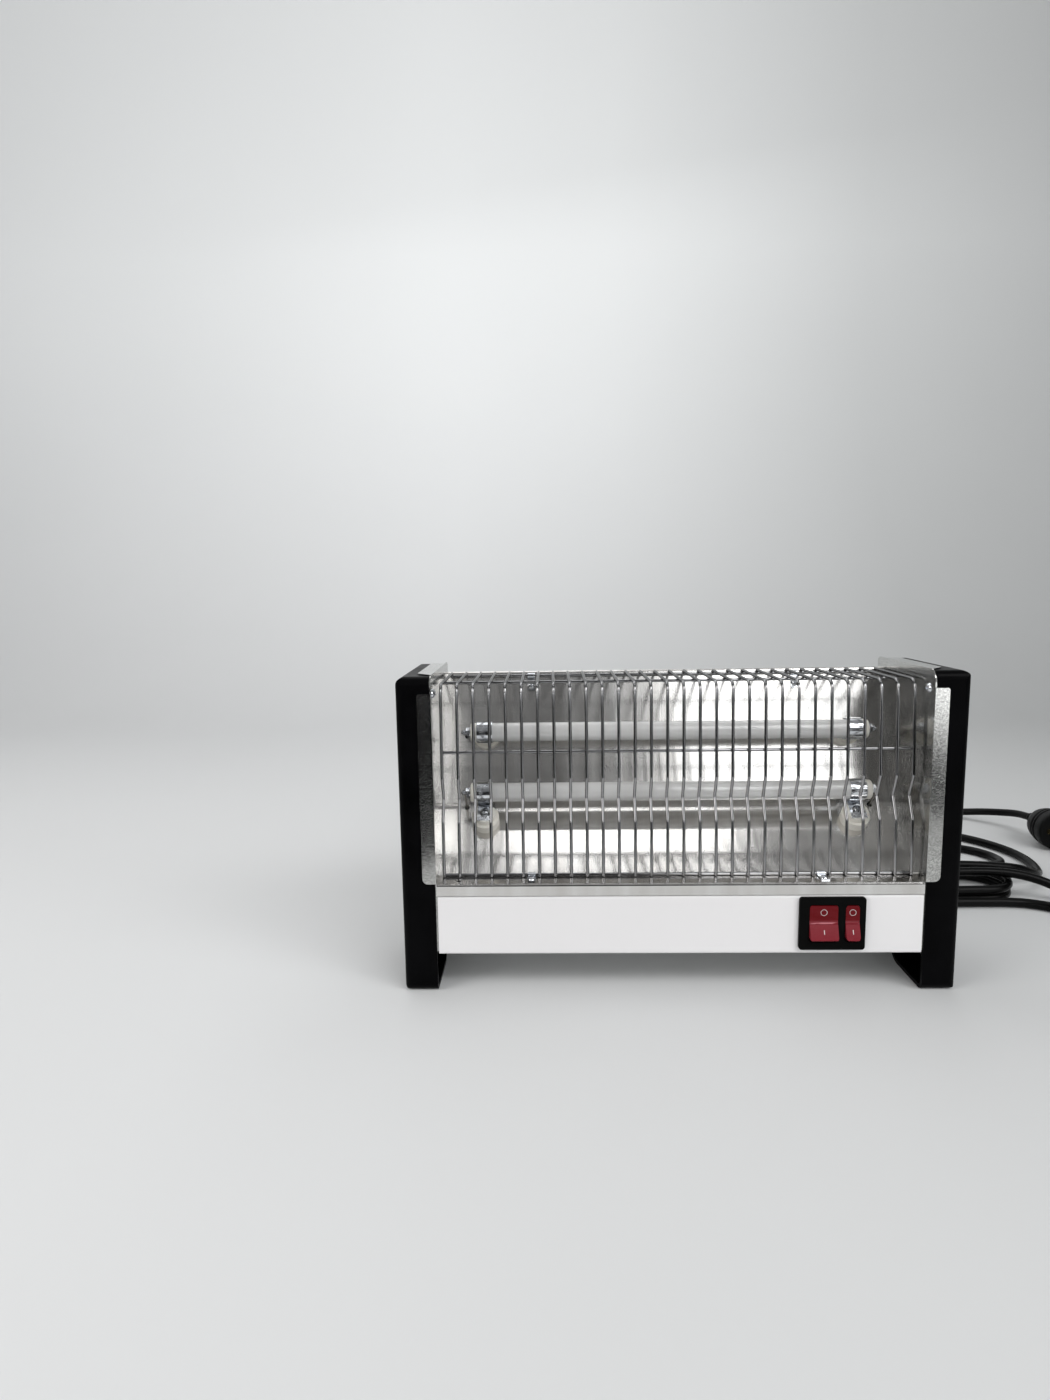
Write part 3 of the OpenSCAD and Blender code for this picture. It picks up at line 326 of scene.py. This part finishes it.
# Painted light: to camera, glossy and transmission rays the paper also glows, brighter up the backdrop and
# fading towards both sides, most to the right; to camera rays alone the far floor in front glows as well.
shader.inputs["Emission Color"].default_value = (0.98, 1, 1, 1)
painted_glow_across = number(tree, "MULTIPLY", spread(tree, parts.outputs["X"], -2.0, -0.4, 0.62, 1.0),
               spread(tree, parts.outputs["X"], 0.1, 1.2, 1.0, 0.48))
painted_glow = number(tree, "MULTIPLY", number(tree, "MULTIPLY", shown, painted_glow_across),
             spread(tree, parts.outputs["Z"], 0.0, 1.1, 0.02, 0.38))
far_floor = number(tree, "MULTIPLY", seen, spread(tree, parts.outputs["Y"], -1.0, -3.0, 0.0, 0.6))
painted_glow = number(tree, "ADD", painted_glow, far_floor)
tree.links.new(painted_glow, shader.inputs["Emission Strength"])
clear = tree.nodes.new("ShaderNodeBsdfTransparent")
rim = number(tree, "ADD", parts.outputs["Y"], spread(tree, parts.outputs["X"], -0.2, -0.08, 0.0, 0.28))
rim = number(tree, "ADD", rim, spread(tree, parts.outputs["X"], 0.22, 0.34, 0.0, -0.14))
ends = number(tree, "MULTIPLY", spread(tree, rim, -0.28, -0.25, 1.0, 0.0),
              number(tree, "SUBTRACT", 1.0, seen))
joined = wire(tree, "ShaderNodeMixShader", n0=ends, n1=shader.outputs[0], n2=clear.outputs[0])
tree.links.new(joined.outputs[0], tree.nodes["Material Output"].inputs["Surface"])
backdrop = bmesh_object("backdrop", mesh, paper)
bpy.context.scene.collection.objects.link(backdrop)


def soft_lamp(name, spot, target, width, height, level, colour=(1, 1, 1)):
    """A flat lamp whose face shows the given level of light."""
    lamp = bpy.data.lights.new(name, "AREA")
    lamp.shape, lamp.size, lamp.size_y = "RECTANGLE", width, height
    lamp.energy, lamp.color = level * math.pi * width * height, colour
    made = bpy.data.objects.new(name, lamp)
    away = (Vector(target) - Vector(spot)).normalized()
    made.matrix_world = Matrix.Translation(spot) @ away.to_track_quat("-Z", "Y").to_matrix().to_4x4()
    made.visible_camera = False
    bpy.context.scene.collection.objects.link(made)


soft_lamp("overhead lamp", (0.08, -0.178, 1.55), (0.08, -0.168, 0), 0.56, 0.07, 5.6)
soft_lamp("rear overhead lamp", (-0.3, 0.75, 1.6), (-0.1, 0.2, 0), 2.0, 1.0, 1.4)
soft_lamp("high front lamp", (0.75, -1.05, 1.4), (0, 0, 0.1), 1.15, 0.6, 5)
soft_lamp("right lamp", (1.35, -0.85, 0.95), (0, 0, 0.12), 0.8, 0.8, 3)
soft_lamp("left lamp", (-1.35, -0.75, 1.0), (0, 0, 0.12), 1.0, 0.9, 4, (1, 0.98, 0.96))

# The room in reflections, by direction: turn is to the right and rise upward, for one step to the front
world = bpy.data.worlds.new("room")
world.use_nodes = True
bpy.context.scene.world = world
tree = world.node_tree
toward = wire(tree, "ShaderNodeTexCoord").outputs["Generated"]
parts = wire(tree, "ShaderNodeSeparateXYZ", Vector=toward)
front = number(tree, "MAXIMUM", number(tree, "MULTIPLY", parts.outputs["Y"], -1.0), 0.05)
turn = number(tree, "DIVIDE", parts.outputs["X"], front)
rise = number(tree, "DIVIDE", parts.outputs["Z"], front)


def patch(left, right, bottom, top, level, edge=0.04):
    """A soft-edged bright field of the room."""
    share = level
    for axis, low, high in ((turn, left, right), (rise, bottom, top)):
        share = number(tree, "MULTIPLY", share, spread(tree, axis, low - edge, low + edge, 0.0, 1.0))
        share = number(tree, "MULTIPLY", share, spread(tree, axis, high - edge, high + edge, 1.0, 0.0))
    return share


level = number(tree, "MULTIPLY", spread(tree, rise, 0.3, 0.45, 0.01, 0.085),
               spread(tree, turn, 0.41, 0.45, 1.0, 0.3))
level = number(tree, "MULTIPLY", level, spread(tree, turn, -0.42, -0.36, 0.3, 1.0))
window = patch(0.165, 0.395, 0.3, 0.72, 3, 0.02)
pale_wall = patch(-0.34, -0.12, 0.4, 0.9, 0.35)
low_window = patch(0.42, 0.6, -0.18, 0.1, 3)
left_strip = patch(-2.2, -0.24, 0.1, 0.27, 3, 0.02)
right_strip = patch(0.6, 2.2, 0.1, 0.27, 3, 0.02)
far_left = patch(-2.4, -1.1, -0.05, 0.5, 0.5, 0.2)
for field in (window, pale_wall, low_window, left_strip, right_strip, far_left):
    level = number(tree, "ADD", level, field)
ceiling = spread(tree, parts.outputs["Z"], 0.62, 0.85, 0.0, 1.0)
level = number(tree, "ADD", number(tree, "MULTIPLY", level, number(tree, "SUBTRACT", 1.0, ceiling)),
               number(tree, "MULTIPLY", ceiling, 0.3))
seen = wire(tree, "ShaderNodeLightPath").outputs["Is Camera Ray"]
shown = number(tree, "ADD", number(tree, "MULTIPLY", level, number(tree, "SUBTRACT", 1.0, seen)),
               number(tree, "MULTIPLY", seen, 0.68))
tree.links.new(shown, tree.nodes["Background"].inputs["Strength"])
tree.nodes["Background"].inputs["Color"].default_value = (0.98, 0.99, 1, 1)
bpy.context.scene.view_settings.view_transform = "Standard"

# End cheeks ----------------------------------------------------------------
# Hollow mouldings in satin black ABS that carry the plates and are the feet. Each is held by four screws.


def dressed(material, *names):
    """Gives CAD nodes a material."""
    for name in names:
        for slot in node[name].material_slots:
            slot.material = material


cheek_black = plastic("satin black cheek", (0.0008, 0.0008, 0.001), (0.0025, 0.0025, 0.003), 0.3, 0.42,
                      1100, 0.00008, 0.04)
dressed(cheek_black, "left_cheek", "right_cheek")

# End plates, base plate and back cover -----------------------------------------
# Galvanised sheet with a fine spangle, folded round the cheeks and the base and left bare.
spangle, g_in, g_out = effect("zinc spangle",
                              [("Scale", FLOAT, 600), ("Contrast", FLOAT, 1.0)],
                              [("Tone", FLOAT), ("Roughness", FLOAT), ("Height", FLOAT)])
where = wire(spangle, "ShaderNodeTexCoord").outputs["Object"]
crystal = wire(spangle, "ShaderNodeTexVoronoi", Vector=where, Scale=g_in.outputs["Scale"])
tone = wire(spangle, "ShaderNodeSeparateColor", n0=crystal.outputs["Color"]).outputs[0]
tarnish = wire(spangle, "ShaderNodeTexNoise", Vector=where, Scale=30.0, Detail=3.0).outputs[0]
mixed = number(spangle, "ADD", number(spangle, "MULTIPLY", tone, 0.6),
               number(spangle, "MULTIPLY", tarnish, 0.4))
spangle.links.new(mixed, g_out.inputs["Tone"])
spangle.links.new(spread(spangle, mixed, 0.1, 0.9, 0.09, 0.18), g_out.inputs["Roughness"])
spangle.links.new(number(spangle, "MULTIPLY", tone, g_in.outputs["Contrast"]), g_out.inputs["Height"])


def zinc(name, dark, light, scale, contrast, strength):
    """Zinc-coated steel with spangles of a scale and contrast."""
    made, tree, shader = finish(name)
    shader.inputs["Metallic"].default_value = 1
    flowers = placed(tree, spangle, Scale=scale, Contrast=contrast)
    blended(tree, shader, flowers.outputs["Tone"], dark, light, 0.15, 0.85)
    tree.links.new(flowers.outputs["Roughness"], shader.inputs["Roughness"])
    bump(tree, shader, flowers.outputs["Height"], strength, 0.0001)
    return made


galvanised = zinc("galvanised sheet", (0.32, 0.32, 0.31), (0.72, 0.72, 0.70), 1700, 1.0, 0.22)
dressed(galvanised, "left_end_plate", "right_end_plate", "base_plate", "back_cover")

# Reflector -----------------------------------------------------------------
# One sheet of polished aluminium alloy folded to a lip, a shelf and two slopes, and rolled at the top edge.
# Fine mill lines run up and down the slopes and smear what it reflects sideways; the soft upright streaks
# are painted reflection in its tone, over a random stain.
rolled, g_in, g_out = effect("mill lines",
                             [("Lines", FLOAT, 2500), ("Low Gloss", FLOAT, 0.15),
                              ("High Gloss", FLOAT, 0.19)],
                             [("Tone", FLOAT), ("Roughness", FLOAT), ("Height", FLOAT)])
where = wire(rolled, "ShaderNodeTexCoord").outputs["Object"]
upward = wire(rolled, "ShaderNodeMapping", Vector=where, Scale=(1, 0.004, 0.004)).outputs[0]
lines = wire(rolled, "ShaderNodeTexNoise", Vector=upward, Scale=g_in.outputs["Lines"], Detail=2.0).outputs[0]
painted_streaks = wire(rolled, "ShaderNodeTexNoise", Vector=upward, Scale=75.0, Detail=2.0).outputs[0]
stain = wire(rolled, "ShaderNodeTexNoise", Vector=where, Scale=16.0, Detail=4.0).outputs[0]
# Painted reflection: soft upright streaks in the tone, mixed with a random stain.
painted_streaks_and_stain = number(rolled, "ADD", number(rolled, "MULTIPLY", painted_streaks, 0.75),
              number(rolled, "MULTIPLY", stain, 0.25))
rolled.links.new(painted_streaks_and_stain, g_out.inputs["Tone"])
rolled.links.new(spread(rolled, painted_streaks_and_stain, 0.3, 0.7, g_in.outputs["Low Gloss"], g_in.outputs["High Gloss"]),
                 g_out.inputs["Roughness"])
waves = wire(rolled, "ShaderNodeTexNoise", Vector=upward, Scale=36.0, Detail=1.0).outputs[0]
rolled.links.new(number(rolled, "MULTIPLY_ADD", lines, 0.07, waves), g_out.inputs["Height"])

polished, tree, shader = finish("polished reflector sheet")
shader.inputs["Metallic"].default_value = 1
mill = placed(tree, rolled)
blended(tree, shader, mill.outputs["Tone"], (0.64, 0.62, 0.595), (0.84, 0.835, 0.82))
tree.links.new(mill.outputs["Roughness"], shader.inputs["Roughness"])
bump(tree, shader, mill.outputs["Height"], 1.0, 0.00014)
dressed(polished, "reflector")

# Front panel ---------------------------------------------------------------
# Steel sheet with folded returns, in white stove enamel with a slight orange-peel gloss.
enamel, tree, shader = finish("white enamel")
where = wire(tree, "ShaderNodeTexCoord").outputs["Object"]
peel = wire(tree, "ShaderNodeTexNoise", Vector=where, Scale=420.0, Detail=1.0).outputs[0]
haze = wire(tree, "ShaderNodeTexNoise", Vector=where, Scale=14.0, Detail=3.0).outputs[0]
blended(tree, shader, haze, (0.86, 0.85, 0.855), (0.875, 0.865, 0.87))
tree.links.new(spread(tree, haze, 0.3, 0.7, 0.3, 0.34), shader.inputs["Roughness"])
shader.inputs["Coat Weight"].default_value = 0.3
shader.inputs["Coat Roughness"].default_value = 0.12
bump(tree, shader, peel, 0.12, 0.00012)
dressed(enamel, "front_panel")

# Guard ---------------------------------------------------------------------
# Thirty uprights of 2 mm steel wire, each bent back at a kink and over the top, spot-welded in front of
# four cross wires and bright chrome plated. Four saddle clips and screws hold it to the reflector.
chrome, tree, shader = finish("chromed wire")
shader.inputs["Metallic"].default_value = 1
drawn = placed(tree, rolled, Low_Gloss=0.05, High_Gloss=0.12, Lines=2400.0)
# Painted shade: the base colour is far darker than chrome, standing in for the dark room the wires reflect.
blended(tree, shader, drawn.outputs["Tone"], (0.26, 0.26, 0.26), (0.38, 0.38, 0.39))
tree.links.new(drawn.outputs["Roughness"], shader.inputs["Roughness"])
shader.inputs["Specular Tint"].default_value = (0.5, 0.5, 0.5, 1)


def arced(path, radii, steps=6):
    """Path with its corners rounded; the points are (Y, Z) in millimetres."""
    points = [Vector(path[0])]
    for a, b, c, r in zip(path, path[1:], path[2:], radii):
        a, b, c = Vector(a), Vector(b), Vector(c)
        u, v = (b - a).normalized(), (c - b).normalized()
        half = u.angle(v) / 2
        reach = r * math.tan(half)
        start, end = b - u * reach, b + v * reach
        hub = b + (v - u).normalized() * (r / math.cos(half))
        for i in range(steps + 1):
            share = i / steps
            spoke = (start - hub).normalized().lerp((end - hub).normalized(), share).normalized()
            points.append(hub + spoke * r)
    return points + [Vector(path[-1])]


upright = arced([(12.5, 70.0), (14.3, 104.6), (21, 118.6), (15.8, 131.8), (19.8, 190.8), (84.9, 190.8)],
                [3, 2.2, 3, 6.5])
bent = bpy.data.curves.new("guard_uprights", "CURVE")
bent.dimensions = "3D"
bent.bevel_depth, bent.bevel_resolution, bent.use_fill_caps = 0.001, 3, True
wires, pitch = 30, 10
for i in range(wires):
    spline = bent.splines.new("POLY")
    spline.points.add(len(upright) - 1)
    for knot, p in zip(spline.points, upright):
        knot.co = (*place(pitch * (i - (wires - 1) / 2), p.x, p.y), 1)
    spline.use_smooth = True
bent.materials.append(chrome)
uprights = own(bpy.data.objects.new("guard_uprights", bent))
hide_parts("guard_wires")
dressed(chrome, "guard_cross_wires")

bright_zinc = zinc("bright zinc plate", (0.58, 0.60, 0.63), (0.84, 0.86, 0.89), 500, 0.3, 0.04)
dressed(bright_zinc, "guard_clips", "guard_screws", "cheek_screws", "cover_screws")

# Quartz tubes and heating elements -------------------------------------------
# Tubes of milky quartz glass, each with a coil of resistance wire wound to 6 mm inside.
quartz, tree, shader = finish("milky quartz")
where = wire(tree, "ShaderNodeTexCoord").outputs["Object"]
along = wire(tree, "ShaderNodeMapping", Vector=where, Scale=(1, 0.1, 0.1)).outputs[0]
bands = wire(tree, "ShaderNodeTexNoise", Vector=along, Scale=55.0, Detail=2.0).outputs[0]
blended(tree, shader, bands, (0.80, 0.80, 0.79), (0.93, 0.93, 0.925))
tree.links.new(spread(tree, bands, 0.3, 0.7, 0.14, 0.24), shader.inputs["Roughness"])
shader.inputs["Transmission Weight"].default_value = 0.3
shader.inputs["IOR"].default_value = 1.46
shader.inputs["Coat Weight"].default_value = 0.8
shader.inputs["Coat Roughness"].default_value = 0.12
dressed(quartz, "upper_tube", "lower_tube")

wound_wire, tree, shader = finish("resistance wire")
shader.inputs["Metallic"].default_value = 1
drawn = placed(tree, rolled, Low_Gloss=0.3, High_Gloss=0.5, Lines=3000.0)
blended(tree, shader, drawn.outputs["Tone"], (0.30, 0.28, 0.26), (0.42, 0.40, 0.38))
tree.links.new(drawn.outputs["Roughness"], shader.inputs["Roughness"])
wire_radius, coil_radius = 0.00035, 0.00262
turns, per_turn = 118, 12
leg = 0.006
for tube, name in (("upper_tube", "upper_element"), ("lower_tube", "lower_element")):
    low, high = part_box(tube)
    centre = (low + high) / 2
    low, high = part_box(name)
    coil = bpy.data.curves.new(name + "_coil", "CURVE")
    coil.dimensions = "3D"
    coil.bevel_depth, coil.bevel_resolution = wire_radius, 0
    spline = coil.splines.new("POLY")
    wound = high.x - low.x - 2 * leg
    places = [Vector((low.x, centre.y, centre.z))]
    places += [Vector((low.x + leg + wound * i / (turns * per_turn),
                       centre.y + coil_radius * math.sin(2 * math.pi * i / per_turn),
                       centre.z + coil_radius * math.cos(2 * math.pi * i / per_turn)))
               for i in range(turns * per_turn + 1)]
    places.append(Vector((high.x, centre.y, centre.z)))
    spline.points.add(len(places) - 1)
    for knot, p in zip(spline.points, places):
        knot.co = (*p, 1)
    coil.materials.append(wound_wire)
    piece = own(bpy.data.objects.new(name + "_coil", coil))
    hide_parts(name)

# Tube ends, clips and insulators ------------------------------------------------
# Steatite caps close the tubes; a plated stud with washer and nut stands in each. Sheet bands on stepped
# steatite insulators hold the tubes, with one screw each, and bare leads run from the studs into the base.
steatite, tree, shader = finish("cream steatite")
pressed = placed(tree, grain, Scale=600.0, Low_Gloss=0.35, High_Gloss=0.55)
tree.links.new(pressed.outputs["Roughness"], shader.inputs["Roughness"])
blended(tree, shader, pressed.outputs["Tone"], (0.80, 0.77, 0.69), (0.90, 0.88, 0.82))
bump(tree, shader, pressed.outputs["Height"], 0.3, 0.0001)
dressed(steatite, "tube_end_caps", "ceramic_spacers", "terminal_block")

brass, tree, shader = finish("plain brass")
shader.inputs["Metallic"].default_value = 1
drawn = placed(tree, rolled, Low_Gloss=0.2, High_Gloss=0.36, Lines=2000.0)
blended(tree, shader, drawn.outputs["Tone"], (0.55, 0.42, 0.20), (0.78, 0.62, 0.34))
tree.links.new(drawn.outputs["Roughness"], shader.inputs["Roughness"])
dressed(brass, "switch_terminals", "plug_pins")
dull_zinc = zinc("dull zinc plate", (0.20, 0.21, 0.22), (0.42, 0.43, 0.45), 700, 0.3, 0.1)
dressed(bright_zinc, "terminal_nuts", "upper_tube_clips", "lower_tube_clips", "clip_nuts")
dressed(dull_zinc, "terminal_studs", "clip_screws")
dressed(wound_wire, "lead_wires")

# Switch --------------------------------------------------------------------
# A snap-in double rocker switch: a black bezel with two rockers in clear red plastic, which carry the
# usual I and O marks printed in white.
bezel_black = plastic("black switch bezel", (0.0015, 0.0015, 0.0015), (0.004, 0.004, 0.004), 0.3, 0.4,
                      900, 0.00005, 0.04)
dressed(bezel_black, "switch_housing")

ruby, tree, shader = finish("clear red plastic")
where = wire(tree, "ShaderNodeTexCoord").outputs["Object"]
parts = wire(tree, "ShaderNodeSeparateXYZ", Vector=where)
# Painted light: the lower face of each rocker is made lighter, as where it catches the light of the floor
# below, with horizontal streaks of painted reflection across the faces.
lower_face_painted_lighter = spread(tree, parts.outputs["Z"], 0.0468, 0.0456, 0.0, 1.0)
flat = wire(tree, "ShaderNodeMapping", Vector=where, Scale=(0.25, 1, 1)).outputs[0]
rocker_reflection_streaks = wire(tree, "ShaderNodeTexNoise", Vector=flat, Scale=700.0, Detail=2.0).outputs[0]
# Painted highlight: a light, broken line of glints along the crease between the faces.
crease = number(tree, "MULTIPLY", spread(tree, parts.outputs["Z"], 0.0438, 0.0443, 0.0, 1.0),
                spread(tree, parts.outputs["Z"], 0.0448, 0.0452, 1.0, 0.0))
painted_crease_glint = number(tree, "MULTIPLY", crease, spread(tree, rocker_reflection_streaks, 0.5, 0.62, 0.0, 1.0))
# The ramp runs from the rocker's dark red through a painted lighter red for the lower face to a painted pink
# highlight.
ramp = tree.nodes.new("ShaderNodeValToRGB")
ramp.color_ramp.elements[0].color = (0.11, 0.0005, 0.002, 1)
ramp.color_ramp.elements[1].color = (0.55, 0.20, 0.23, 1)
painted_lower_red = ramp.color_ramp.elements.new(0.5)
painted_lower_red.color = (0.22, 0.02, 0.03, 1)
mix = number(tree, "ADD", number(tree, "MULTIPLY", lower_face_painted_lighter, 0.35), number(tree, "MULTIPLY", rocker_reflection_streaks, 0.18))
tree.links.new(number(tree, "ADD", mix, number(tree, "MULTIPLY", painted_crease_glint, 0.5)), ramp.inputs[0])
tree.links.new(ramp.outputs[0], shader.inputs["Base Color"])
tree.links.new(spread(tree, rocker_reflection_streaks, 0.3, 0.7, 0.06, 0.16), shader.inputs["Roughness"])
shader.inputs["Specular IOR Level"].default_value = 0.12
shader.inputs["Coat Weight"].default_value = 0.05
shader.inputs["Coat Roughness"].default_value = 0.05
dressed(ruby, "rocker_wide", "rocker_narrow")

# The marks are printed: a ring on each upper face and a stroke half-way down each lower face
ink, tree, shader = finish("white ink")
printed = placed(tree, grain, Scale=3000.0, Low_Gloss=0.3, High_Gloss=0.5)
tree.links.new(printed.outputs["Roughness"], shader.inputs["Roughness"])
blended(tree, shader, printed.outputs["Tone"], (0.86, 0.85, 0.85), (0.95, 0.94, 0.94))
slant = math.radians(20)
crease_y, crease_z = -1.948, 44.79
ring_z, stroke_down = 51.3, 5.6
for rocker, body, x in (("rocker_wide", "wide_rocker", 87.75), ("rocker_narrow", "narrow_rocker", 105.1)):
    mesh = bmesh.new()
    ring = [(0.00176, -0.00003), (0.00178, 0.00003), (0.00196, 0.00003), (0.00198, -0.00003)]
    turned(mesh, ring, place(x, crease_y, ring_z), (0, -1, 0), (0, 0, 1), steps=32)
    stroke = bmesh.ops.create_cube(mesh, size=1)["verts"]
    bmesh.ops.scale(mesh, verts=stroke, vec=(0.0004, 0.00008, 0.0028))
    ends = {e for v in stroke for e in v.link_edges if abs(e.verts[0].co.y - e.verts[1].co.y) > 1e-6}
    bmesh.ops.bevel(mesh, geom=list(ends), offset=0.00015, affect="EDGES", segments=2, profile=0.5,
                    material=-1)
    stroke = [v for v in mesh.verts if v.co.length < 0.01]
    bmesh.ops.rotate(mesh, verts=stroke, cent=(0, 0, 0), matrix=Matrix.Rotation(-slant, 3, "X"))
    down = place(x, crease_y - stroke_down * math.sin(slant), crease_z - stroke_down * math.cos(slant))
    bmesh.ops.translate(mesh, verts=stroke, vec=down)
    marks = own(bmesh_object(rocker + "_marks", mesh, ink), body)

bpy.context.view_layer.update()
